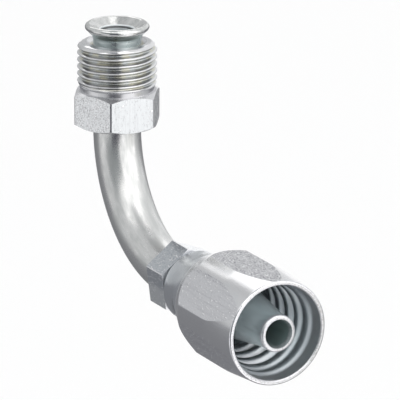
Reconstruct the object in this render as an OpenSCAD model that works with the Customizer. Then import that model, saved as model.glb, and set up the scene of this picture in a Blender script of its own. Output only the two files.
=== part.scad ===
// Reusable hydraulic hose end: swivel nut on a bent, double-flared tube,
// brazed into a hexagon nipple that carries a screw-on hose socket.
// Units are millimetres. The nut's axis is Z. The hose side runs along +X.
// The origin is on the nut's axis at the foot of its port thread.

/* [Port thread and nut] */
// Outside diameter of the port thread
port_d = 15.875; // [14:0.005:18]
// Length of the full thread
port_len = 7.3; // [5:0.1:10]
// Chamfer on the thread's free end
port_chamfer = 1.1; // [0.5:0.05:1.6]
// Depth of the relief groove under the thread
relief_depth = 0.5; // [0.2:0.05:0.9]
// Width of the relief groove
relief_w = 1.4; // [1:0.1:2.5]
// Nut size across its flats
nut_af = 15.875; // [15.875:0.005:19.05]
// Height of the nut's hexagon
nut_hex_h = 7.2; // [5:0.1:8]
// Turn of the nut's hexagon about its axis
nut_turn = 24.9; // [0:0.1:60]
// Slope of the hexagons' turned end chamfers
hex_chamfer_a = 30; // [15:1:40]
// Radial running clearance between nut and tube
swivel_gap = 0.08; // [0.02:0.01:0.1]
// Outer radius of the seat countersunk in the nut's nose
nose_seat_r = 6.25; // [5.6:0.05:6.5]

/* [Tube] */
// Outside diameter of the tube
tube_od = 9.525; // [9:0.005:10]
// Wall thickness of the tube
tube_wall = 1.245; // [0.7:0.005:1.65]
// Centre-line radius of the bend
bend_r = 24.2; // [20:0.1:40]
// Straight tube between the nut's foot and the bend
port_run = 0.1; // [0:0.1:10]
// Straight tube between the bend and the braze
hose_run = 0.2; // [0:0.1:10]
// Gap along the axis between the nut's seat and the back of the flare
flare_gap = 2.58; // [1:0.01:4]
// Outside diameter of the flare
flare_d = 12.8; // [12.2:0.05:13.2]
// Section radius of the flare's rolled lip
flare_lip_r = 0.69; // [0.5:0.01:0.8]
// Radius that blends the flare's back into the tube
flare_blend_r = 1.2; // [0.5:0.1:2]

/* [Nipple] */
// Nipple size across its flats
nipple_af = 12.7; // [12.4:0.05:14]
// Length of the nipple's hexagon
nipple_hex_l = 6.65; // [6:0.05:7.5]
// Turn of the nipple's hexagon about its axis
nipple_turn = 7.75; // [0:0.25:60]
// How far the tube goes into the nipple
tube_seat_l = 5.8; // [4:0.1:5.8]
// Radial gap that the braze filler draws into
braze_gap = 0.05; // [0.02:0.01:0.1]
// Leg of the braze fillet
braze_leg = 1.1; // [0.5:0.1:1.4]
// Outside diameter of the screw that holds the socket
screw_d = 11.8; // [11:0.05:12.6]
// Length of that screw beyond the neck
screw_l = 10; // [8:0.1:11]
// Length of the plain neck between hexagon and screw
neck_l = 1; // [0.6:0.1:1.5]
// Depth of the plain neck below the screw's outside
neck_depth = 0.4; // [0.2:0.05:0.6]
// Diameter of the tail where the hose stops
tail_d = 10.6; // [9.8:0.1:10.9]
// Length of the tail's straight root
tail_root_l = 8.9; // [6:0.1:10]
// Diameter of the tail at its tip
tip_d = 7.4; // [7:0.05:8]
// Length of the tail's taper
tail_taper_l = 10.9; // [9:0.1:12]
// Length of the straight land at the tip
tip_land_l = 3.5; // [2:0.1:5]
// Rounding of the tip
tip_round = 0.5; // [0.2:0.05:0.6]
// Diameter of the flow bore
bore_d = 5.1; // [4:0.1:5.4]
// Chamfer at the mouth of the flow bore
bore_chamfer = 0.35; // [0.1:0.05:0.5]

/* [Socket] */
// Gap between the nipple's hexagon and the socket
socket_gap = 0.85; // [0.4:0.05:1]
// Socket size across its flats
socket_af = 20.6375; // [20:0.0005:21.5]
// Turn of the socket's flats about its axis
socket_turn = 30.5; // [0:0.5:60]
// Diameter of the turned barrel
barrel_d = 22.1; // [21.8:0.05:23]
// Diameter of the back collar
collar_d = 14.2; // [13.6:0.1:15]
// Length of the back collar
collar_l = 4; // [3:0.1:5]
// Half-angle of the cone behind the flats
shoulder_a = 22.7; // [20:0.1:30]
// Length of the socket
socket_l = 33; // [32:0.1:35]
// Length over which the barrel is turned down towards its mouth
nose_l = 9.9; // [6:0.1:12]
// Half-angle of that taper
nose_a = 4.7; // [2:0.1:6]
// Radius that blends the taper into the barrel
nose_blend_r = 25; // [5:1:30]
// Rounding of the outer edge of the mouth
lip_r = 0.55; // [0.3:0.05:0.7]
// Diameter of the counterbore at the mouth
mouth_d = 18.85; // [18.5:0.05:19]
// Depth of that counterbore
mouth_l = 2.9; // [2:0.1:4]
// Diameter of the hose bore at the foot of its grip thread
grip_d = 18.3; // [17.6:0.1:18.4]
// Depth from the mouth to where the hose bore closes in
hose_l = 19.9; // [18:0.1:20]
// Length of the cone at the back of the hose bore
bore_cone_l = 3; // [2:0.1:3.2]
// Radial clearance between the nipple's screw and the socket
screw_gap = 0.05; // [0.02:0.01:0.1]
// Small edge break on turned corners
edge = 0.4; // [0.1:0.05:0.5]

/* [View] */
// Piece to show

/* [Hidden] */
$fn = 96;
port_r = port_d / 2;
tube_r = tube_od / 2;
tube_ir = tube_r - tube_wall;
nut_bore_r = tube_r + swivel_gap;
nut_foot = -relief_w - nut_hex_h;
nose_z = port_len + port_chamfer;
leg_drop = bend_r + port_run - nut_foot;
nipple_x = bend_r + hose_run + braze_leg;
tube_end_x = nipple_x + tube_seat_l;
hex_end_x = nipple_x + nipple_hex_l;
screw_x = hex_end_x + neck_l;
tail_x = screw_x + screw_l;
taper_x = tail_x + tail_root_l;
land_x = taper_x + tail_taper_l;
tip_x = land_x + tip_land_l;
socket_x = hex_end_x + socket_gap;
mouth_x = socket_x + socket_l;
cone_x = socket_x + collar_l;
barrel_x = cone_x + (barrel_d - collar_d) / 2 / tan(shoulder_a);
hose_stop_x = mouth_x - hose_l;
screw_bore_r = screw_d / 2 + screw_gap;
steel = [0.72, 0.73, 0.74];

// Points along a circular arc in the (radius, height) half-plane
function arc(cr, cz, r, a0, a1, n) =
  [for (i = [0 : n]) let (a = a0 + (a1 - a0) * i / n) [cr + r * cos(a), cz + r * sin(a)]];

// Puts what was turned about Z onto the hose centre line, pointing along +X
module on_hose_axis() {
  translate([0, 0, -leg_drop]) rotate([0, 90, 0]) children();
}

// A hexagon bar whose corners are turned back at one or both ends
module turned_hex(z, h, af, turn, foot = true, head = true) {
  corner_r = af / sqrt(3);
  cut_r = corner_r + 0.5;
  face_r = af / 2 - 0.1;
  drop = (cut_r - face_r) * tan(hex_chamfer_a);
  intersection() {
    translate([0, 0, z]) rotate([0, 0, turn]) cylinder(h = h, r = corner_r, $fn = 6);
    rotate_extrude() polygon([
      [0, z], [foot ? face_r : cut_r, z], [cut_r, foot ? z + drop : z],
      [cut_r, head ? z + h - drop : z + h], [head ? face_r : cut_r, z + h], [0, z + h]
    ]);
  }
}

// Solid rod from the flare down to the end in the nipple, at any one radius
module tube_run(r, top_z) {
  translate([0, 0, bend_r - leg_drop]) cylinder(h = top_z - bend_r + leg_drop, r = r);
  translate([bend_r, 0, bend_r - leg_drop]) rotate([90, 0, 0]) rotate([0, 0, 180])
    rotate_extrude(angle = 90) translate([bend_r, 0]) circle(r = r);
  on_hose_axis() translate([0, 0, bend_r]) cylinder(h = tube_end_x - bend_r, r = r);
}

// Swivel nut: port thread over a hexagon, with the flare's seat in its nose
module swivel_nut() {
  color(steel) difference() {
    union() {
      turned_hex(nut_foot, nut_hex_h, nut_af, nut_turn);
      rotate_extrude() polygon([
        [0, nut_foot + 1], [port_r - relief_depth, nut_foot + 1],
        [port_r - relief_depth, -relief_depth], [port_r, 0], [port_r, port_len],
        [port_r - port_chamfer, nose_z], [0, nose_z]
      ]);
    }
    rotate_extrude() polygon([
      [0, nut_foot - 1], [nut_bore_r + edge + 1, nut_foot - 1], [nut_bore_r, nut_foot + edge],
      [nut_bore_r, nose_z - (nose_seat_r - nut_bore_r)], [nose_seat_r + 1, nose_z + 1], [0, nose_z + 1]
    ]);
  }
}

// Tube: rolled double flare with a 45 degree cup, straight leg, bend, spigot
module elbow_tube() {
  lip_c = flare_d / 2 - flare_lip_r;
  // both 45 degree cones lie on lines of radius less height
  flare_z = lip_c + 2 * flare_lip_r * sin(45) + nose_z - nose_seat_r + flare_gap;
  back_z = flare_z - flare_lip_r * sin(45);
  back_r = lip_c + flare_lip_r * cos(45);
  // the blend is tangent to the tube and to the 45 degree back of the flare
  blend_c = tube_r + flare_blend_r;
  blend_z = back_z - (back_r - blend_c) - flare_blend_r / sin(45);
  cup_r = lip_c - flare_lip_r * sin(45);
  cup_z = flare_z + flare_lip_r * sin(45);
  color(steel) difference() {
    union() {
      tube_run(tube_r, blend_z);
      rotate_extrude() polygon(concat(
        [[0, blend_z - 1], [tube_r, blend_z - 1]],
        arc(blend_c, blend_z, flare_blend_r, 180, 135, 8),
        arc(lip_c, flare_z, flare_lip_r, -45, 135, 24),
        [[tube_ir, cup_z - (cup_r - tube_ir)], [0, cup_z - (cup_r - tube_ir)]]
      ));
    }
    tube_run(tube_ir, cup_z);
    on_hose_axis() translate([0, 0, tube_end_x - edge])
      cylinder(h = edge + 0.1, r1 = tube_ir, r2 = tube_ir + edge);
  }
}

// Braze: concave fillet run round the tube where it enters the nipple
module braze_ring() {
  color([0.70, 0.69, 0.66]) on_hose_axis() rotate_extrude() polygon(concat(
    [[tube_r, nipple_x]],
    arc(tube_r + braze_leg, nipple_x - braze_leg, braze_leg, 90, 180, 12)
  ));
}

// Nipple: hexagon, neck, screw for the socket, tapered tail for the hose
module nipple() {
  screw_r = screw_d / 2;
  spigot_r = tube_r + braze_gap;
  color(steel) on_hose_axis() difference() {
    union() {
      turned_hex(nipple_x, nipple_hex_l, nipple_af, nipple_turn, foot = false);
      rotate_extrude() polygon(concat([
        [0, nipple_x + 1], [screw_r - neck_depth, nipple_x + 1],
        [screw_r - neck_depth, screw_x - neck_depth], [screw_r, screw_x],
        [screw_r, tail_x - (screw_r - tail_d / 2)], [tail_d / 2, tail_x],
        [tail_d / 2, taper_x], [tip_d / 2, land_x]],
        arc(tip_d / 2 - tip_round, tip_x - tip_round, tip_round, 0, 90, 8),
        [[0, tip_x]]
      ));
    }
    rotate_extrude() polygon([
      [0, nipple_x - 1], [spigot_r, nipple_x - 1], [spigot_r, tube_end_x],
      [tube_ir, tube_end_x], [bore_d / 2, tube_end_x + 1.2],
      [bore_d / 2, tip_x - 3 * bore_chamfer], [bore_d / 2 + bore_chamfer, tip_x],
      [bore_d / 2 + bore_chamfer, tip_x + 1], [0, tip_x + 1]
    ]);
  }
}

// Socket: six flats milled on a tapered barrel, coned back to a round collar
module socket() {
  nose_x = mouth_x - nose_l;
  nose_r = barrel_d / 2 - nose_blend_r * (1 - cos(nose_a));
  taper_run = nose_l - lip_r * (1 - sin(nose_a)) - nose_blend_r * sin(nose_a);
  lip_c = nose_r - taper_run * tan(nose_a) - lip_r * cos(nose_a);
  wall_r = mouth_d / 2;
  color(steel) on_hose_axis() difference() {
    intersection() {
      rotate_extrude() polygon(concat([
        [0, socket_x], [collar_d / 2 - edge, socket_x], [collar_d / 2, socket_x + edge],
        [collar_d / 2, cone_x], [barrel_d / 2, barrel_x]],
        arc(barrel_d / 2 - nose_blend_r, nose_x, nose_blend_r, 0, nose_a, 4),
        arc(lip_c, mouth_x - lip_r, lip_r, nose_a, 90, 10),
        [[0, mouth_x]]
      ));
      translate([0, 0, socket_x]) rotate([0, 0, socket_turn])
        cylinder(h = socket_l, r = socket_af / sqrt(3), $fn = 6);
    }
    rotate_extrude() polygon([
      [0, socket_x - 1], [screw_bore_r + edge + 1, socket_x - 1], [screw_bore_r, socket_x + edge],
      [screw_bore_r, hose_stop_x - bore_cone_l], [grip_d / 2, hose_stop_x],
      [grip_d / 2, mouth_x - mouth_l - (wall_r - grip_d / 2)], [wall_r, mouth_x - mouth_l],
      [wall_r, mouth_x - edge / 2], [wall_r + edge / 2 + 1, mouth_x + 1], [0, mouth_x + 1]
    ]);
  }
}

swivel_nut();
elbow_tube();
braze_ring();
nipple();
socket();
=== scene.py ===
# %% [markdown]
# # A right-angle hydraulic hose end, piece by piece
# The object is five plated steel pieces: a swivel nut with a port thread, a
# bent and flared tube, a braze fillet, a hexagon nipple and a hose socket.
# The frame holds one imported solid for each, and the body it rides on. Each
# piece below takes the place of its solid: it is turned, sawn, bevelled and
# threaded in millimetres, and only its last step scales it to metres.

# %% Load the frame
import math

import bmesh
import bpy
from mathutils import Matrix, Vector


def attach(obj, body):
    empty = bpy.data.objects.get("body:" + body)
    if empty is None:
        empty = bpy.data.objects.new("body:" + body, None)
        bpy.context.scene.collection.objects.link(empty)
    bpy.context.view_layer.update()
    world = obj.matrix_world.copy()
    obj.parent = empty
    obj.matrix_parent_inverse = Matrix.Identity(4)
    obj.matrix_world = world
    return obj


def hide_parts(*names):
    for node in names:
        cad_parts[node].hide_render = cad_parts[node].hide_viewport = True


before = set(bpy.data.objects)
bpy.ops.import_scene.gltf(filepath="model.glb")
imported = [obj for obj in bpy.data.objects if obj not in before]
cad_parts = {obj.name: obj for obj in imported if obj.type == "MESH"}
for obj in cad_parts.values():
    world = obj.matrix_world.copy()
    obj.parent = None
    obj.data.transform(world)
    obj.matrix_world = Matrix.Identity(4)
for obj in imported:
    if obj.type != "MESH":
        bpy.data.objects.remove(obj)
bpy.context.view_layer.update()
print("solids:", sorted(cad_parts))

# %% [markdown]
# ## The camera
# A long lens far away keeps parallel edges nearly parallel. The camera is
# set by its three axes rather than by angles, so that the rows of the matrix
# say directly which way is right, up and back.

# %% Camera
LENS_MM, SENSOR_MM = 432, 36
FAR_CLIP = 20  # metres
CAMERA_PLACE = 0.814730, -0.422661, 0.256735
right = Vector((0.47485013, 0.88004630, 0.00598821))
up = Vector((-0.26052176, 0.13406497, 0.95611453))
back = Vector((0.84062225, -0.45557117, 0.29293198))
camera_data = bpy.data.cameras.new("camera")
camera_data.lens = LENS_MM
camera_data.sensor_width = SENSOR_MM
camera_data.clip_end = FAR_CLIP
camera = bpy.data.objects.new("camera", camera_data)
bpy.context.scene.collection.objects.link(camera)
camera.matrix_world = Matrix((right, up, back)).transposed().to_4x4()
camera.matrix_world.translation = CAMERA_PLACE
bpy.context.scene.camera = camera
print("camera looks along", [round(-c, 3) for c in back])

# %% [markdown]
# ## Helpers for turned pieces
# A lathe makes most of these shapes, so the first helper is a lathe: it draws
# an outline in the half-plane of radius and height and spins it about Z.
# The hose side is made upright too and laid over afterwards.

# %% A lathe
AROUND = 192  # columns round a turned piece
FULL_TURN = 2 * math.pi


def arc(centre_r, centre_z, radius, start, end, steps):
    """Points of an arc in the half-plane, angles in degrees"""
    angles = [math.radians(start + (end - start) * i / steps) for i in range(steps + 1)]
    return [(centre_r + radius * math.cos(a), centre_z + radius * math.sin(a)) for a in angles]


def lathe(bm, outline, around=AROUND):
    """Spins an outline of (radius, height) points about Z and returns its faces"""
    before = set(bm.faces)
    dots = [bm.verts.new((r, 0, z)) for r, z in outline]
    lines = [bm.edges.new(pair) for pair in zip(dots, dots[1:])]
    bmesh.ops.spin(bm, geom=dots + lines, cent=(0, 0, 0), axis=(0, 0, 1),
                   angle=FULL_TURN, steps=around, use_merge=True)
    return [f for f in bm.faces if f not in before]


# %% [markdown]
# Flats are sawn off a turned blank, one plane at a time, as a mill would do
# it. The cut through a cone or a taper leaves the curved edge that a real
# hexagon has, and the hole is filled with one flat face. A hexagon also has
# its corners taken off by a hair first, because no real corner is quite sharp.

# %% A saw for flats
SPARE_STOCK = 0.5  # a hexagon's blank is this much larger than its corners
END_INSET = 0.1  # and its turned end is this much smaller than its flats
SAW_SNAP = 1e-5  # a vertex nearer than this counts as on the plane
FLAT_CORNERS = 12  # only a sawn flat has more corners than this


def only(kind, geometry):
    """The vertices, the edges or the faces among mixed results"""
    return [g for g in geometry if isinstance(g, kind)]


def hexagon_blank(across_flats, chamfer):
    """Radius over the corners, radius of the turned end, and the drop between them"""
    corner = across_flats / math.sqrt(3) + SPARE_STOCK
    end = across_flats / 2 - END_INSET
    return corner, end, (corner - end) * math.tan(math.radians(chamfer))


def hexagon_cuts(across_flats, turn, blunt):
    """Cuts that blunt the six corners and then make the six flats"""
    return [(across_flats / math.sqrt(3) - blunt, turn), (across_flats / 2, turn + 30)]


def saw_flats(bm, faces, cuts):
    """Makes six cuts for each (distance from the axis, angle of the first) and
    gives the flats the second material"""
    live = set(faces)
    for distance, angle in [(d, first + 60 * i) for d, first in cuts for i in range(6)]:
        turn = math.radians(angle)
        normal = Vector((math.cos(turn), math.sin(turn), 0))
        live = {f for f in live if f.is_valid}
        edges = {e for f in live for e in f.edges}
        verts = {v for f in live for v in f.verts}
        cut = bmesh.ops.bisect_plane(bm, geom=[*live, *edges, *verts], dist=SAW_SNAP,
                                     plane_co=normal * distance, plane_no=normal, clear_outer=True)
        rim = [e for e in only(bmesh.types.BMEdge, cut["geom_cut"])
               if e.is_valid and len(e.link_faces) == 1]
        filled = bmesh.ops.holes_fill(bm, edges=rim, sides=0)["faces"]
        live = set(only(bmesh.types.BMFace, cut["geom"])) | set(filled)
    for f in bm.faces:
        if len(f.verts) > FLAT_CORNERS:
            f.material_index = 1


# %% [markdown]
# A screw thread is a sheet wrapped round the axis so that each of its rows
# climbs one pitch per turn. Rows that follow the helix keep every crest
# even. What lies past either end is gathered onto that end's circle and
# merged, so the skin begins and ends in a plain ring.

# %% A thread cutter
SPARE_BELOW, SPARE_TURNS = 2, 5  # pitches of spare sheet: below the low end, and in all
RING_MERGE, SLIVER = 2e-4, 1e-4  # millimetres
VALLEY = 0.5  # a valley lies half a pitch from a crest


def cut_thread(bm, low, high, pitch, hand, crest, shares, radius_at):
    """Wraps a threaded skin from low to high; hand is 1 for right, -1 for left.
    crest is a crest's height at angle zero, shares are the rows in one pitch,
    and radius_at(share, height) gives the radius."""
    first = math.floor((low - crest) / pitch) - SPARE_BELOW
    turns = math.ceil((high - low) / pitch) + SPARE_TURNS
    heights = [crest + (first + k + s) * pitch for k in range(turns) for s in shares]
    last = len(heights) - 1
    sheet = bmesh.ops.create_grid(bm, x_segments=AROUND, y_segments=last, size=1)["verts"]
    for v in sheet:
        column = round((v.co.x + 1) / 2 * AROUND)
        row = round((v.co.y + 1) / 2 * last)
        angle = FULL_TURN * column / AROUND
        climbed = heights[row] + hand * pitch * column / AROUND
        z = min(max(climbed, low), high)
        share = VALLEY if z in (low, high) else ((heights[row] - crest) / pitch) % 1
        r = radius_at(share, z)
        v.co = (r * math.cos(angle), r * math.sin(angle), z)
    bmesh.ops.remove_doubles(bm, verts=sheet, dist=RING_MERGE)
    edges = list({e for v in sheet if v.is_valid for e in v.link_edges})
    bmesh.ops.dissolve_degenerate(bm, dist=SLIVER, edges=edges)


def share_of_depth(share, table):
    """Depth of a thread's form at a share of its pitch, from a table of half the form"""
    s = min(share, 1 - share)
    for (s0, d0), (s1, d1) in zip(table, table[1:]):
        if s <= s1:
            return d0 + (d1 - d0) * (s - s0) / (s1 - s0)
    return table[-1][1]


def rows_of(table):
    """Rows of one whole pitch from a table of half the form"""
    half = [s for s, _ in table]
    return half + [1 - s for s in half[-2:0:-1]]


def smooth_step(start, end, value):
    """0 at start, 1 at end, whichever is the larger, and a soft S between them"""
    t = min(max((value - start) / (end - start), 0), 1)
    return t * t * (3 - 2 * t)


# %% [markdown]
# Every finished mesh goes through one last helper. It merges what touches,
# turns the faces outwards, marks the hard edges so that smooth shading stops
# there, and writes the piece in metres with its object at the origin.

# %% Finishing a piece
LEG_DROP = 32.9  # the hose's centre line lies this far below the origin
MERGE, HARD_EDGE = 3e-4, 28  # millimetres and degrees
UPRIGHT = Matrix.Identity(4)
ALONG_HOSE = Matrix.Translation((0, 0, -LEG_DROP)) @ Matrix.Rotation(math.pi / 2, 4, "Y")
TO_METRES = Matrix.Scale(0.001, 4)


def finish_piece(bm, name, place, body, node, materials):
    """Makes a named object of bm that stands for one solid of the frame"""
    bmesh.ops.remove_doubles(bm, verts=bm.verts, dist=MERGE)
    bmesh.ops.recalc_face_normals(bm, faces=bm.faces)
    bmesh.ops.transform(bm, matrix=TO_METRES @ place, verts=bm.verts)
    open_edges = sum(1 for e in bm.edges if not e.is_manifold)
    for f in bm.faces:
        f.smooth = f.material_index == 0
    for e in bm.edges:
        e.smooth = len(e.link_faces) != 2 or e.calc_face_angle(0) < math.radians(HARD_EDGE)
    mesh = bpy.data.meshes.new(name)
    triangles = sum(len(f.verts) - 2 for f in bm.faces)
    bm.to_mesh(mesh)
    bm.free()
    piece = bpy.data.objects.new(name, mesh)
    bpy.context.scene.collection.objects.link(piece)
    for m in materials:
        mesh.materials.append(m)
    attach(piece, body)
    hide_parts(node)
    print(f"{name}: {triangles} triangles, {open_edges} open edges")


# %% [markdown]
# ## Shader maths
# Materials read best as sums. This small class wraps a socket, and the usual
# signs add the Math nodes. Everything else comes from one method, node().

# %% Sockets that can be added and multiplied
class Wire:
    """One output socket of a shader tree"""

    def __init__(self, tree, socket=None):
        self.tree, self.socket = tree, socket

    def node(self, kind, settings=None, out=0, **values):
        """Adds a node, sets it, feeds its inputs and returns one output. An
        input goes by its name, or by its number after a _ where names repeat."""
        made = self.tree.nodes.new("ShaderNode" + kind)
        for name, value in (settings or {}).items():
            setattr(made, name, value)
        for name, value in values.items():
            key = int(name[1:]) if name[0] == "_" else name.replace("_", " ")
            if isinstance(value, Wire):
                self.tree.links.new(value.socket, made.inputs[key])
            else:
                made.inputs[key].default_value = value
        return Wire(self.tree, made.outputs[out])

    def maths(self, operation, first, second=0.0):
        """One Math node on two values"""
        return self.node("Math", {"operation": operation}, _0=first, _1=second)

    def __add__(self, other):
        return self.maths("ADD", self, other)

    def __radd__(self, other):
        return self.maths("ADD", other, self)

    def __sub__(self, other):
        return self.maths("SUBTRACT", self, other)

    def __rsub__(self, other):
        return self.maths("SUBTRACT", other, self)

    def __mul__(self, other):
        return self.maths("MULTIPLY", self, other)

    def __rmul__(self, other):
        return self.maths("MULTIPLY", other, self)

    def __truediv__(self, other):
        return self.maths("DIVIDE", self, other)

    def __pow__(self, other):
        return self.maths("POWER", self, other)

    def __abs__(self):
        return self.maths("ABSOLUTE", self)

    def mix(self, low, high):
        """Blends two colours by this value"""
        return self.node("Mix", {"data_type": "RGBA"}, out=2, _0=self, _6=low, _7=high)

    def ramp(self, start, end):
        """0 at start, 1 at end, whichever is the larger, with soft ends"""
        return self.node("MapRange", {"interpolation_type": "SMOOTHSTEP"}, _0=self, _1=start, _2=end)

    def band(self, middle, half, soft):
        """1 within half of middle, 0 beyond it, over a soft edge"""
        return abs(self - middle).ramp(half + soft, half)

    def part(self, axis):
        """One coordinate of a vector"""
        return self.node("SeparateXYZ", out="xyz".index(axis), _0=self)

    def noise(self, size, longer=(1, 1, 1), detail=2.0):
        """Noise with grains of about this size, drawn out along some axes"""
        squeezed = tuple(1 / (size * stretch) for stretch in longer)
        spread = self.node("VectorMath", {"operation": "MULTIPLY"}, _0=self, _1=squeezed)
        return self.node("TexNoise", Vector=spread, Scale=1.0, Detail=detail)


# %% [markdown]
# ## Plated steel
# All five pieces are steel under bright zinc, a metal all through, so colour
# here means the colour of its reflection. What tells the pieces apart is how
# the steel was worked before plating. A finish therefore starts from one
# helper that gives the pattern space in millimetres, and ends in another that
# joins colour, roughness and relief. Relief is given in micrometres.

# %% Start and end of a finish
MM_PER_METRE = (1000, 1000, 1000)
MICROMETRE = 1e-6


def start_finish(name, attribute=None, drop=0.0):
    """A new metal material and its pattern space, raised by drop, in millimetres"""
    material = bpy.data.materials.new(name)
    material.use_nodes = True
    material.node_tree.nodes["Principled BSDF"].inputs["Metallic"].default_value = 1.0
    blank = Wire(material.node_tree)
    if attribute:
        return material, blank.node("Attribute", {"attribute_name": attribute}, out=1)
    place = blank.node("TexCoord", out=3)
    return material, blank.node("Mapping", Vector=place, Location=(0, 0, drop), Scale=MM_PER_METRE)


def end_finish(material, colour, rough, relief):
    """Joins a finish to its shader"""
    shader = material.node_tree.nodes["Principled BSDF"]
    bump = relief.node("Bump", Strength=1.0, Distance=MICROMETRE, Height=relief)
    for name, wire in (("Base Color", colour), ("Roughness", rough), ("Normal", bump)):
        material.node_tree.links.new(wire.socket, shader.inputs[name])
    print(f"{material.name}: {len(material.node_tree.nodes)} nodes")
    return material


def tone(red, green, blue):
    """A colour with full alpha"""
    return red, green, blue, 1


# %% [markdown]
# The flats are bright-drawn or milled: a fine pebbled grain with dark and
# bright specks, and faint lines along the bar. Three pieces have them, so one
# finish takes the tones, the depth of the grain and where specks gather. They
# gather by direction, so that the faces of one hexagon can differ.

# %% Flats
def flats_finish(name, axis, pale, dark, grain, least, gritty, drop=0.0, rough=0.24, painted_light_below=0.0):
    """Flats with a pebbled grain, specks and faint lines along an axis.
    least is the share of specks everywhere; gritty is a direction and the
    reaches along it at which they start and are full. The last argument is
    painted light that pales the lower half."""
    material, at = start_finish(name, drop=drop)
    toward, start, full = gritty
    reach = at.node("VectorMath", {"operation": "DOT_PRODUCT"}, out=1, _0=at, _1=toward)
    share = least + reach.ramp(start, full) * (1 - least)
    along = tuple(40 if letter == axis else 1 for letter in "xyz")
    pebble = at.noise(0.32, detail=1.0)
    lines = at.noise(0.5, along, 2.0)
    pepper = at.noise(0.30, detail=1.0).ramp(0.50, 0.63)
    salt = pebble.ramp(0.42, 0.30)
    glint = at.noise(0.27, tuple(1 + stretch / 20 for stretch in along), 0.0).ramp(0.67, 0.74)
    worn = (pepper * share * 0.8 + lines.ramp(0.45, 0.7) * 0.16).mix(tone(*pale), tone(*dark))
    colour = (salt * share * 0.6 + glint).mix(worn, tone(0.95, 0.95, 0.96))
    # Painted light: the lower half of the flats is paled towards white.
    colour = (at.part("z").ramp(0.2, -1.2) * painted_light_below).mix(colour, tone(0.97, 0.99, 0.99))
    relief = pebble * share * grain + lines * 1.5 + at.noise(2.5) * 8.0 + glint * 42.0
    return end_finish(material, colour, rough + (at.noise(1.4) - 0.5) * rough * 0.6, relief)


# %% [markdown]
# ## The swivel nut
# The nut carries the port thread and turns freely on the tube, under its
# flare. Its seat is countersunk in the nose. The origin lies on its axis,
# where the thread starts.

# %% Sizes of the nut
PORT_R, PORT_LEN, PORT_CHAMFER = 7.9375, 7.3, 1.1
PORT_PITCH, PORT_DEPTH = 25.4 / 18, 0.8
PORT_CREST_Z, PORT_CREST_TURN = 6.14, 241.5  # a crest is this high at this angle
RELIEF_DEPTH, RELIEF_W = 0.5, 1.4
NUT_AF, NUT_HEX_H, NUT_TURN = 15.875, 7.2, 24.9
NUT_CHAMFER, NUT_BLUNT = 30, 0.1
NUT_BORE_R, SEAT_R, EDGE = 4.8425, 6.25, 0.4
NOSE_ROUND = 1.7
NOSE_SIDE, NOSE_TOP, NOSE_JOIN = 18, 82, 62  # angles on the nose's round
SEAT_RIM = [(0.34, 0.04), (0.26, 0.1)]  # how far inside the seat and above the nose
nose_z = PORT_LEN + PORT_CHAMFER
nut_foot = -RELIEF_W - NUT_HEX_H
groove_r = PORT_R - RELIEF_DEPTH
port_crest = PORT_CREST_Z - PORT_PITCH * PORT_CREST_TURN / 360
print(f"nut: {nose_z - nut_foot:.1f} mm high, pitch {PORT_PITCH:.3f} mm")

# %% [markdown]
# The thread's valleys hold a trace of yellow and green passivation, while its
# crests are rubbed bright. The radius from the axis tells crest from valley.
# The undersides of the crests carry painted shade, and the helix itself
# finds them: the height, less the turn, in pitches. From the relief groove
# down the metal is greyer and duller, the nose shows rings from facing, and
# one flat of the hexagon has few specks.

# %% Turned nut
THREAD_MIDDLE, THREAD_HALF = 3.9, 3.7  # heights that hold thread
CREST_EDGE, VALLEY_EDGE = 7.85, 7.35  # radii where a crest ends and a valley begins
# UNDERSIDE marks where the painted shade lies under each crest.
UNDERSIDE, UNDERSIDE_HALF = 0.81, 0.07  # shares of a pitch
GROOVE_GREY, GROOVE_DULL, GROOVE_FULL = 0.2, 0.0, -0.5  # heights where each starts and both are full
NOSE_FROM, NOSE_FULL = 7.9, 8.2  # heights
SPECKS_FROM, SPECKS_FULL = 7.85, 7.75  # reaches towards the clean flat


def turned_nut_finish():
    """Rubbed crests, tinted valleys, painted shade under the crests and rings round the axis"""
    material, at = start_finish("nut_turned")
    radius = (at.part("x") ** 2 + at.part("y") ** 2) ** 0.5
    height = at.part("z")
    in_thread = height.band(THREAD_MIDDLE, THREAD_HALF, 0.4)
    valley = radius.ramp(CREST_EDGE, VALLEY_EDGE) * in_thread
    turned = at.maths("ARCTAN2", at.part("y"), at.part("x")) / FULL_TURN
    climbed = at.maths("FRACT", (height - port_crest) / PORT_PITCH - turned)
    # Painted shade: a dark band just under each crest of the thread.
    underside_shade = climbed.band(UNDERSIDE, UNDERSIDE_HALF, 0.06) * in_thread
    patches = at.noise(2.2, (1, 1, 0.35), 1.0)
    tint = patches.ramp(0.42, 0.6).mix(tone(0.60, 0.62, 0.62), tone(0.66, 0.65, 0.57))
    colour = valley.mix(tone(0.84, 0.84, 0.85), tint)
    colour = (underside_shade * 0.7).mix(colour, tone(0.16, 0.16, 0.17))
    colour = (height.ramp(GROOVE_GREY, GROOVE_FULL) * 0.5).mix(colour, tone(0.62, 0.62, 0.64))
    rings = at.noise(0.10, (60, 60, 1), 2.0)
    facing = at.node("TexNoise", {"noise_dimensions": "1D"}, W=radius * 4.5, Scale=1.0, Detail=2.0)
    on_nose = height.ramp(NOSE_FROM, NOSE_FULL)
    colour = (facing.ramp(0.55, 0.35) * on_nose * 0.3).mix(colour, tone(0.56, 0.56, 0.58))
    cloud = at.noise(0.9)
    dull = height.ramp(GROOVE_DULL, GROOVE_FULL) * 0.16
    rough = 0.13 + valley * 0.1 + (cloud - 0.5) * 0.14 + dull
    relief = rings * 2.2 + at.noise(0.3) * 3.0
    return end_finish(material, colour, rough, relief)


clean_turn = math.radians(NUT_TURN - 30)
clean_face = math.cos(clean_turn), math.sin(clean_turn), 0
nut_turned = turned_nut_finish()
nut_flats = flats_finish("nut_flats", "z", pale=(0.77, 0.79, 0.80), dark=(0.54, 0.54, 0.55),
                         grain=24.0, least=0.12, gritty=(clean_face, SPECKS_FROM, SPECKS_FULL))

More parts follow.
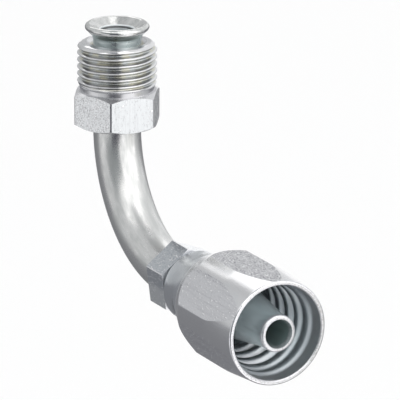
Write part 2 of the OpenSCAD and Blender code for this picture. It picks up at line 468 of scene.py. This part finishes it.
# %% [markdown]
# One outline runs from the foot of the thread out over the hexagon and under
# it. The hexagon is sawn from this collar. A second outline goes up the bore
# and out of the countersunk nose, and the port thread is wound between the
# ends of the two.

# %% Swivel nut
hex_corner, hex_face, hex_drop = hexagon_blank(NUT_AF, NUT_CHAMFER)
nut = bmesh.new()
collar = lathe(nut, [
    (groove_r, -RELIEF_W), (hex_face, -RELIEF_W), (hex_corner, -RELIEF_W - hex_drop),
    (hex_corner, nut_foot + hex_drop), (hex_face, nut_foot), (NUT_BORE_R + EDGE, nut_foot)])
saw_flats(nut, collar, hexagon_cuts(NUT_AF, NUT_TURN, NUT_BLUNT))
nose_centre_r = PORT_R - NOSE_ROUND * math.cos(math.radians(NOSE_SIDE))
nose_centre_z = nose_z - NOSE_ROUND * math.sin(math.radians(NOSE_TOP))
nose = arc(nose_centre_r, nose_centre_z, NOSE_ROUND, NOSE_TOP, NOSE_JOIN, 6)
lathe(nut, [(NUT_BORE_R + EDGE, nut_foot), (NUT_BORE_R, nut_foot + EDGE),
            (NUT_BORE_R, nose_z - (SEAT_R - NUT_BORE_R))]
      + [(SEAT_R - inside, nose_z + above) for inside, above in SEAT_RIM] + nose)

# %% [markdown]
# The thread has rounded crests and valleys. Its form is given by half, from
# the middle of a crest to the middle of a valley, as (share of the pitch,
# share of the depth). It runs out into the relief groove below and is turned
# off by the round of the nose above.

# %% Port thread
PORT_FORM = [(0, 0), (0.035, 0.01), (0.065, 0.05), (0.1, 0.13), (0.2, 0.42), (0.3, 0.71),
             (0.36, 0.86), (0.41, 0.95), (0.455, 0.99), (0.5, 1)]
RUN_OUT = -0.35, 0.75  # heights where the thread is gone and where it is full
GROOVE_SIDE = -0.5, 0.1  # heights between which the groove's side rises


def port_radius(share, z):
    """Radius of the port thread: turned off at the nose, run out into the relief"""
    plain = groove_r + (PORT_R - groove_r) * smooth_step(*GROOVE_SIDE, z)
    cut = plain - PORT_DEPTH * smooth_step(*RUN_OUT, z) * share_of_depth(share, PORT_FORM)
    above = max(z - nose_centre_z, 0)
    round_r = nose_centre_r + math.sqrt(max(NOSE_ROUND ** 2 - above ** 2, 0))
    return min(cut, round_r)


cut_thread(nut, -RELIEF_W, nose[-1][1], PORT_PITCH, 1, port_crest, rows_of(PORT_FORM), port_radius)
finish_piece(nut, "swivel_nut_steel", UPRIGHT, "nut", "swivel_nut",
             [nut_turned, nut_flats])

# %% [markdown]
# ## The bent tube
# The tube comes up through the nut, where its end is rolled out and folded
# back into a double flare that seals on the port. Below the nut it bends by a
# right angle and ends inside the nipple.

# %% Sizes of the tube
TUBE_R, TUBE_WALL, BEND_R = 4.7625, 1.245, 24.2
BRAZE_GAP, BRAZE_LEG, TUBE_SEAT = 0.2, 1.1, 5.8
FLARE_D, LIP_R, BLEND_R, FLARE_GAP = 12.8, 0.69, 1.2, 2.58
FOLD_ROUND, FOLD_IN, FOLD_UP = 0.16, 0.08, 0.42
FOLD_FOOT = [(0.16, 0.24), (0, 0.5)]  # outside the bore and below the fold
bore_r = TUBE_R - TUBE_WALL
bend_z = BEND_R - LEG_DROP
nipple_x = BEND_R + BRAZE_GAP + BRAZE_LEG
seat_x = nipple_x + TUBE_SEAT
print(f"tube: bends from z {bend_z:.1f}, ends at x {seat_x:.1f} mm")

# %% [markdown]
# Tube is drawn, then bent, and the bending leaves the plate cloudy: long soft
# patches of satin and bright that follow the tube round its bend. Object
# coordinates can't follow a bend, so the tube carries its own coordinates in
# an attribute: two across the tube, and the length along it from the bend,
# which is negative up to the flare. The throat is paler with painted light,
# with a line of painted shade where the flare is folded, and the neck under
# the flare is bluish.

# %% Drawn tube
CREASE, CREASE_HALF = -19.02, 0.13  # along the tube
NECK, NECK_HALF = -18.0, 1.1  # along the tube
FLARE_FROM, FLARE_FULL = -19.0, -19.8  # along the tube
THROAT_FROM, THROAT_FULL = 13.9, 12.8  # squared distances from the centre line


def tube_finish():
    """Cloudy drawn tube with a throat paled by painted light, painted shade in the folded crease and a
    bluish neck
    """
    material, at = start_finish("tube_skin", attribute="skin")
    patches = at.noise(1.6, (1, 1, 3.2), 3.0)
    streaks = at.noise(0.22, (1, 1, 14), 2.0)
    grain = at.noise(0.24, detail=1.0)
    worn = (patches + streaks * 0.35).ramp(0.52, 0.86)
    along = at.part("z")
    # Painted shade: a dark line along the crease where the flare is folded.
    crease_shade = along.band(CREASE, CREASE_HALF, 0.1)
    throat = (at.part("x") ** 2 + at.part("y") ** 2).ramp(THROAT_FROM, THROAT_FULL)
    neck = along.band(NECK, NECK_HALF, 0.4) * (1 - throat)
    colour = worn.mix(tone(0.80, 0.80, 0.79), tone(0.66, 0.67, 0.66))
    colour = (neck * 0.8).mix(colour, tone(0.66, 0.73, 0.73))
    # Painted light pales the throat, and the crease's painted shade lies over it.
    folded = (crease_shade * 0.9).mix(tone(0.88, 0.91, 0.92), tone(0.10, 0.10, 0.11))
    colour = throat.mix(colour, folded)
    flared = along.ramp(FLARE_FROM, FLARE_FULL) * (1 - throat)
    rough = 0.27 + worn * 0.14 + (grain - 0.5) * 0.1 + throat * 0.35 - flared * 0.16
    relief = patches * 14.0 + grain * 8.0 + streaks * 2.0
    return end_finish(material, colour, rough, relief)


tube_skin = tube_finish()

# %% [markdown]
# The flare and its cup are turned at the top of the upright leg. The two
# circles at the foot of that leg, outside and bore, are spun a quarter turn
# about the bend's centre and drawn out straight into the nipple.

# %% Elbow tube
diagonal = math.sin(math.radians(45))
lip_c = FLARE_D / 2 - LIP_R
flare_z = lip_c + 2 * LIP_R * diagonal + nose_z - SEAT_R + FLARE_GAP
flare_back_z = flare_z - LIP_R * diagonal
flare_back_r = lip_c + LIP_R * diagonal
blend_c = TUBE_R + BLEND_R
blend_z = flare_back_z - (flare_back_r - blend_c) - BLEND_R / diagonal
cup_r, cup_z = lip_c - LIP_R * diagonal, flare_z + LIP_R * diagonal
fold_r, fold_z = bore_r - FOLD_IN, cup_z - (cup_r - bore_r) + FOLD_UP
tube = bmesh.new()
lathe(tube, [(TUBE_R, bend_z)] + arc(blend_c, blend_z, BLEND_R, 180, 135, 8)
      + arc(lip_c, flare_z, LIP_R, -45, 135, 24)
      + arc(fold_r + FOLD_ROUND, fold_z, FOLD_ROUND, 125, 235, 10)
      + [(bore_r + outside, fold_z - below) for outside, below in FOLD_FOOT] + [(bore_r, bend_z)])
foot = [e for e in tube.edges if e.is_boundary]
bend = bmesh.ops.spin(tube, geom=foot + list({v for e in foot for v in e.verts}),
                      cent=(BEND_R, 0, bend_z), axis=(0, -1, 0), angle=math.pi / 2, steps=64)
end = only(bmesh.types.BMEdge, bend["geom_last"])
drawn = bmesh.ops.extrude_edge_only(tube, edges=end)["geom"]
bmesh.ops.translate(tube, vec=(seat_x - BEND_R, 0, 0), verts=only(bmesh.types.BMVert, drawn))
last = [e for e in only(bmesh.types.BMEdge, drawn) if e.is_boundary]
bmesh.ops.bridge_loops(tube, edges=last)

# %% [markdown]
# Each vertex is told where on the straight tube it was before the bend, in
# three stretches: above the bend, past it, and round it by angle.

# %% The tube's own coordinates
skin = tube.verts.layers.float_vector.new("skin")
for v in tube.verts:
    if v.co.z > bend_z:
        v[skin] = (-v.co.x, v.co.y, bend_z - v.co.z)
    elif v.co.x > BEND_R:
        v[skin] = (-v.co.z - LEG_DROP, v.co.y, BEND_R * math.pi / 2 + v.co.x - BEND_R)
    else:
        reach, fall = BEND_R - v.co.x, bend_z - v.co.z
        v[skin] = (math.hypot(reach, fall) - BEND_R, v.co.y, BEND_R * math.atan2(fall, reach))
finish_piece(tube, "elbow_tube_steel", UPRIGHT, "hose_end", "elbow_tube", [tube_skin])

# %% [markdown]
# ## The braze fillet
# Filler runs round the tube where it enters the nipple and sets with a hollow
# face, so its outline is a quarter circle curving the wrong way. It freezes
# with a slightly lumpy skin, warmer than the zinc.

# %% Braze ring
def braze_finish():
    """Lumpy, warm filler"""
    material, at = start_finish("braze_skin")
    lumps = at.noise(0.8, detail=3.0)
    colour = lumps.ramp(0.35, 0.65).mix(tone(0.66, 0.65, 0.60), tone(0.76, 0.75, 0.71))
    return end_finish(material, colour, 0.26 + lumps * 0.12, lumps * 30.0)


ring = bmesh.new()
hollow = arc(TUBE_R + BRAZE_LEG, nipple_x - BRAZE_LEG, BRAZE_LEG, 90, 180, 10)
lathe(ring, [(TUBE_R, nipple_x)] + hollow + [(TUBE_R, nipple_x)], around=96)
finish_piece(ring, "braze_fillet", ALONG_HOSE, "hose_end", "braze_ring", [braze_finish()])

# %% [markdown]
# ## The nipple and the socket
# The nipple has a hexagon to hold it by, a neck, the screw that carries the
# socket, and the long tapered tail that the hose is pushed over. The socket
# screws over it and grips the hose between its own coarse thread and the
# tail. Both lie along the hose, and their places are distances from the
# upright leg's axis. One finish serves both, so all their sizes come first.

# %% Sizes of the nipple
NIPPLE_AF, HEX_L, NIPPLE_TURN = 12.7, 6.65, 7.75
NIPPLE_CHAMFER, NIPPLE_BLUNT, SPIGOT_GAP = 13, 0.06, 0.05
SCREW_R, SCREW_L, NECK_L, NECK_DEPTH = 5.9, 10, 1, 0.4
TAIL_R, TAIL_L, TIP_R, TAPER_L, LAND_L, TIP_ROUND = 5.3, 8.9, 3.7, 10.9, 3.5, 0.5
FLOW_R, FLOW_CHAMFER, FLOW_CHAMFER_L, FLOW_CONE_L = 2.55, 0.35, 1.05, 1.2
hex_end = nipple_x + HEX_L
screw_x = hex_end + NECK_L
tail_x = screw_x + SCREW_L
taper_x = tail_x + TAIL_L
land_x = taper_x + TAPER_L
tip_x = land_x + LAND_L
print(f"nipple: from x {nipple_x:.1f} to {tip_x:.2f} mm")

# %% Sizes of the socket
SOCKET_AF, SOCKET_TURN = 20.6375, 30.5
SOCKET_GAP, SOCKET_L = 0.85, 33
BARREL_R, COLLAR_R, COLLAR_L = 11.05, 7.1, 4
SHOULDER = math.tan(math.radians(22.7))
SHOULDER_TURN = 0.2  # the shading turns within this length of the shoulder's corner
NOSE_L, NOSE_A, NOSE_BLEND, MOUTH_ROUND = 9.9, 4.7, 25, 0.4
MOUTH_R, MOUTH_L, GRIP_R = 9.425, 2.9, 9.15
HOSE_L, BORE_CONE, SCREW_BORE_R = 19.9, 3, 5.95
socket_x = hex_end + SOCKET_GAP
mouth_x = socket_x + SOCKET_L
cone_x = socket_x + COLLAR_L
barrel_x = cone_x + (BARREL_R - COLLAR_R) / SHOULDER
stop_x = mouth_x - HOSE_L
step_x = mouth_x - MOUTH_L
print(f"socket: from x {socket_x:.1f} to {mouth_x:.1f} mm")

# %% [markdown]
# Turned faces on the hose side show fine rings round the axis, and the barrel
# has faint scratches along it. Inside the socket and on the nipple the zinc
# is bluer, and the flow bore is darker with painted shade. The counterbore and
# the grip thread are rougher than the rest. The rim of the mouth, the tip of
# the tail and the turned end of the nipple's hexagon are rubbed paler. Up to
# the foot of the shoulder's cone the skin is a little wavy.

# %% Turned hose pieces
RIM_FROM, RIM_FULL = mouth_x - 0.55, mouth_x - 0.3
HEX_RUB_FROM, HEX_RUB_FULL = hex_end + 0.25, hex_end + 0.05
INSIDE_FROM, INSIDE_FULL = MOUTH_R + 0.175, MOUTH_R - 0.225
FLOW_FROM, FLOW_FULL = FLOW_R + 0.55, FLOW_R + 0.15
GRIP_MIDDLE, GRIP_HALF = 8.3, 0.9  # radii between which the grip thread lies
GRIP_FROM, GRIP_FULL = stop_x - 0.6, stop_x + 0.4
WAVES_FROM = cone_x + 3


def turned_finish(name, pale, blue, rough, scratches):
    """Rings round the hose axis, scratches along it, and a bluer inside"""
    material, at = start_finish(name, drop=LEG_DROP)
    radius = (at.part("y") ** 2 + at.part("z") ** 2) ** 0.5
    along = at.part("x")
    rings = at.noise(0.09, (1, 60, 60), 2.0)
    scored = at.noise(0.16, (40, 1, 1), 2.0)
    cloud = at.noise(1.8, (2, 1, 1), 2.0)
    inner = radius.ramp(INSIDE_FROM, INSIDE_FULL)
    flow = radius.ramp(FLOW_FROM, FLOW_FULL)
    counterbore = radius.band(MOUTH_R, 0.1, 0.08)
    grip = radius.band(GRIP_MIDDLE, GRIP_HALF, 0.15) * along.ramp(GRIP_FROM, GRIP_FULL)
    rim = along.ramp(RIM_FROM, RIM_FULL)
    rubbed = rim + along.ramp(HEX_RUB_FROM, HEX_RUB_FULL)
    shade = inner * 0.75 + cloud.ramp(0.5, 0.75) * 0.25
    plate = shade.mix(tone(*pale), tone(*blue))
    # The flow bore is darkened with painted shade.
    colour = rubbed.mix(flow.mix(plate, tone(0.62, 0.70, 0.70)), tone(0.88, 0.88, 0.90))
    grit = at.noise(0.32, detail=1.0).ramp(0.50, 0.64) * rim
    colour = (grit * 0.6).mix(colour, tone(0.60, 0.61, 0.63))
    dull = counterbore * 0.22 + flow * 0.1
    waves = at.noise(1.3, detail=1.0) * along.ramp(WAVES_FROM, cone_x)
    relief = rings * 1.6 + scored * scratches + cloud * 2.0 + waves * 40.0
    relief = relief + at.noise(0.4) * rim * 26.0
    return end_finish(material, colour, rough + dull + grip * 0.14 + (cloud - 0.5) * 0.1, relief)


UPWARD = (0, 0, 1)
nipple_turned = turned_finish("nipple_turned", pale=(0.78, 0.83, 0.83), blue=(0.70, 0.79, 0.80),
                              rough=0.32, scratches=1.0)
# The nipple's flats carry painted light on their lower half.
nipple_flats = flats_finish("nipple_flats", "x", pale=(0.68, 0.71, 0.74), dark=(0.48, 0.51, 0.55),
                            grain=4.0, least=0.1, gritty=(UPWARD, 2, 4),
                            drop=LEG_DROP, rough=0.15, painted_light_below=0.9)
socket_turned = turned_finish("socket_turned", pale=(0.80, 0.80, 0.81), blue=(0.70, 0.73, 0.76),
                              rough=0.22, scratches=5.0)
socket_flats = flats_finish("socket_flats", "x", pale=(0.77, 0.77, 0.79), dark=(0.31, 0.31, 0.34),
                            grain=22.0, least=0.18, gritty=(UPWARD, 7, 9.5), drop=LEG_DROP)

# %% [markdown]
# The nipple's hexagon is sawn first. The rest is one outline: over the screw
# and the tail to the tip, back through the flow bore, and out by the hole that
# the tube sits in.

# %% Nipple
nip_corner, nip_face, nip_drop = hexagon_blank(NIPPLE_AF, NIPPLE_CHAMFER)
spigot_r = TUBE_R + SPIGOT_GAP
neck_r = SCREW_R - NECK_DEPTH
nipple = bmesh.new()
hexagon = lathe(nipple, [(spigot_r, nipple_x), (nip_corner, nipple_x),
                         (nip_corner, hex_end - nip_drop), (nip_face, hex_end), (neck_r, hex_end)])
saw_flats(nipple, hexagon, hexagon_cuts(NIPPLE_AF, NIPPLE_TURN, NIPPLE_BLUNT))
lathe(nipple, [(neck_r, hex_end), (neck_r, screw_x - NECK_DEPTH), (SCREW_R, screw_x),
               (SCREW_R, tail_x - (SCREW_R - TAIL_R)), (TAIL_R, tail_x),
               (TAIL_R, taper_x), (TIP_R, land_x)]
      + arc(TIP_R - TIP_ROUND, tip_x - TIP_ROUND, TIP_ROUND, 0, 90, 8)
      + [(FLOW_R + FLOW_CHAMFER, tip_x), (FLOW_R, tip_x - FLOW_CHAMFER_L),
         (FLOW_R, seat_x + FLOW_CONE_L), (bore_r, seat_x), (spigot_r, seat_x),
         (spigot_r, nipple_x)])
finish_piece(nipple, "nipple_body", ALONG_HOSE, "hose_end", "nipple",
             [nipple_turned, nipple_flats])

# %% [markdown]
# The socket's barrel is turned with a cone up from its back collar and a
# taper down to its mouth, then six flats are milled on it. The cone is steep
# enough to show its corner and shallow enough to be shaded smooth, so a point
# on either side of the corner keeps the turn of the shading short.

# %% Hose socket
taper_a = math.radians(NOSE_A)
taper_r = BARREL_R - NOSE_BLEND * (1 - math.cos(taper_a))
taper_run = NOSE_L - MOUTH_ROUND * (1 - math.sin(taper_a)) - NOSE_BLEND * math.sin(taper_a)
lip_r = taper_r - taper_run * math.tan(taper_a) - MOUTH_ROUND * math.cos(taper_a)
socket = bmesh.new()
outside = lathe(socket, [(COLLAR_R - EDGE, socket_x), (COLLAR_R, socket_x + EDGE),
                         (COLLAR_R, cone_x),
                         (BARREL_R - SHOULDER_TURN * SHOULDER, barrel_x - SHOULDER_TURN),
                         (BARREL_R, barrel_x), (BARREL_R, barrel_x + SHOULDER_TURN)]
                + arc(BARREL_R - NOSE_BLEND, mouth_x - NOSE_L, NOSE_BLEND, 0, NOSE_A, 4)
                + arc(lip_r, mouth_x - MOUTH_ROUND, MOUTH_ROUND, NOSE_A, 90, 10))
saw_flats(socket, outside, [(SOCKET_AF / 2, SOCKET_TURN + 30)])
lathe(socket, [(lip_r, mouth_x), (MOUTH_R + EDGE / 2, mouth_x), (MOUTH_R, mouth_x - EDGE / 2),
               (MOUTH_R, step_x)])
lathe(socket, [(GRIP_R, stop_x), (SCREW_BORE_R, stop_x - BORE_CONE),
               (SCREW_BORE_R, socket_x + EDGE), (SCREW_BORE_R + EDGE, socket_x),
               (COLLAR_R - EDGE, socket_x)])

# %% [markdown]
# The grip thread is coarse and left-handed, the other way round from the port
# thread. It is highest near its inner end and fades towards the counterbore.

# %% Grip thread
GRIP_PITCH = 3.175
GRIP_CREST_X, GRIP_CREST_TURN = 61.4, 90  # a crest is this far along at this angle
GRIP_FORM = [(0, 0), (0.06, 0.005), (0.12, 0.03), (0.17, 0.09), (0.22, 0.2), (0.27, 0.38),
             (0.32, 0.6), (0.37, 0.8), (0.42, 0.93), (0.46, 0.985), (0.5, 1)]
GRIP_MORE, GRIP_LEAST, GRIP_FADE = 1.45, 0.2, 2.2  # height that fades, height that stays, power
GRIP_RUN_IN, GRIP_RUN_OUT, STEP_RISE = 1.5, 1.2, 1.0  # lengths
grip_crest = GRIP_CREST_X + GRIP_PITCH * GRIP_CREST_TURN / 360


def grip_radius(share, x):
    """Radius of the grip thread: highest inside, faded out at the counterbore"""
    if x >= step_x:
        return MOUTH_R
    height = GRIP_MORE * (1 - ((x - stop_x) / (step_x - stop_x)) ** GRIP_FADE) + GRIP_LEAST
    height *= smooth_step(step_x, step_x - GRIP_RUN_OUT, x)
    height *= smooth_step(stop_x, stop_x + GRIP_RUN_IN, x)
    wall = GRIP_R + (MOUTH_R - GRIP_R) * smooth_step(step_x - STEP_RISE, step_x, x)
    return wall - height * (1 - share_of_depth(share, GRIP_FORM))


cut_thread(socket, stop_x, step_x, GRIP_PITCH, -1, grip_crest, rows_of(GRIP_FORM), grip_radius)
finish_piece(socket, "hose_socket_steel", ALONG_HOSE, "hose_socket", "socket",
             [socket_turned, socket_flats])

# %% [markdown]
# ## Studio
# Bright zinc shows the room more than it shows itself. The room here is a
# soft grey tent with a few large soft panels, drawn straight on the sky by
# direction. A panel is named by the compass angle and the height of its
# middle, in degrees, and by how far it reaches. Only what the metal mirrors
# sees the tent: the backdrop itself is plain white.

# %% Floor
FLOOR_HALF, FLOOR_DROP = 4, 0.2  # metres
floor_mesh = bpy.data.meshes.new("floor")
floor_bm = bmesh.new()
bmesh.ops.create_grid(floor_bm, x_segments=1, y_segments=1, size=FLOOR_HALF)
bmesh.ops.translate(floor_bm, vec=(0, 0, -FLOOR_DROP), verts=floor_bm.verts)
floor_bm.to_mesh(floor_mesh)
floor_bm.free()
floor = bpy.data.objects.new("floor", floor_mesh)
bpy.context.scene.collection.objects.link(floor)
floor_paint = bpy.data.materials.new("floor_paint")
floor_paint.use_nodes = True
paint = floor_paint.node_tree.nodes["Principled BSDF"]
paint.inputs["Base Color"].default_value = tone(0.95, 0.95, 0.95)
floor_mesh.materials.append(floor_paint)
floor.visible_glossy = False
print("floor at", -FLOOR_DROP, "m")

# %% [markdown]
# Each panel is a soft-edged patch of the sky that hides what lies behind it,
# so the list goes from the back of the room to the front.

# %% Tent
PANELS = [
    # colour, then compass, height, half width, half height and soft edge in degrees
    ((0.04, 0.04, 0.05), 0, -90, 180, 42, 14),     # table underneath
    ((0.60, 0.60, 0.62), 318, -66, 52, 24, 8),     # its front, in the light
    ((1.30, 1.27, 1.28), 20, -54, 34, 16, 6),      # a white sheet on it
    ((0.24, 0.245, 0.26), 159, -34, 69, 28, 6),    # dark room behind the backdrop
    ((0.45, 0.46, 0.47), 197, 5, 10, 6, 5),        # grey cloth on the far left
    ((0.90, 0.90, 0.91), 270, -12, 26, 12, 6),     # white card on the left
    ((0.64, 0.65, 0.66), 240, 30, 30, 26, 8),      # pale wall above the card
    ((0.86, 0.87, 0.88), 104, 34, 36, 30, 8),      # pale wall on the right
    ((0.27, 0.29, 0.30), 308, 8, 32, 17, 7),       # grey wall by the camera
    ((1.30, 1.30, 1.30), 40, 86, 85, 13, 5),       # light through the roof
    ((1.50, 1.50, 1.50), 20, 38, 38, 44, 6),       # great soft light on the right
    ((1.42, 1.42, 1.42), 303, 50, 34, 13, 6),      # soft light over the camera
    ((1.24, 1.24, 1.25), 10, -18, 20, 22, 4),      # lower corner of the great light
    ((0.60, 0.59, 0.55), 40, -20, 7, 14, 2),       # dull gap beside it
    ((0.08, 0.08, 0.10), 326, -18, 19, 16, 3),     # dark cloth round the camera
    ((0.20, 0.21, 0.24), 310, 77, 27, 12, 4),      # dark boom over the camera
    ((1.15, 1.15, 1.15), 150, -11, 8, 13, 3),      # lit backdrop
    ((1.50, 1.50, 1.50), 169, 45, 18, 12, 4),      # soft light overhead
    ((1.50, 1.50, 1.50), 150, 38, 8, 10, 3),       # its near end, hung lower
]
TENT_GREY, BACKDROP_WHITE = tone(0.54, 0.55, 0.56), tone(1.06, 1.06, 1.06)

sky = bpy.data.worlds.new("studio")
bpy.context.scene.world = sky
sky.use_nodes = True
room = Wire(sky.node_tree)
toward = room.node("TexCoord", out=0)
reach_x, reach_y = toward.part("x"), toward.part("y")
sky_height = room.maths("ARCSINE", toward.part("z"))


def panel(light, colour, compass, high, half_width, half_height, soft):
    """Lays one soft panel over the light that is there already"""
    turn = math.radians(compass)
    ahead = reach_x * math.cos(turn) + reach_y * math.sin(turn)
    aside = reach_y * math.cos(turn) - reach_x * math.sin(turn)
    sideways = room.maths("ARCTAN2", aside, ahead)
    inside = sideways.band(0.0, math.radians(half_width), math.radians(soft))
    inside = inside * sky_height.band(math.radians(high), math.radians(half_height), math.radians(soft))
    return inside.mix(light, tone(*colour))


tent = TENT_GREY
for colour, *place in PANELS:
    tent = panel(tent, colour, *place)
mirrored = room.node("LightPath", out=3)
backdrop = sky.node_tree.nodes["Background"]
sky.node_tree.links.new(mirrored.mix(BACKDROP_WHITE, tent).socket, backdrop.inputs["Color"])
bpy.context.scene.view_settings.view_transform = "Standard"
print("tent of", len(PANELS), "panels")
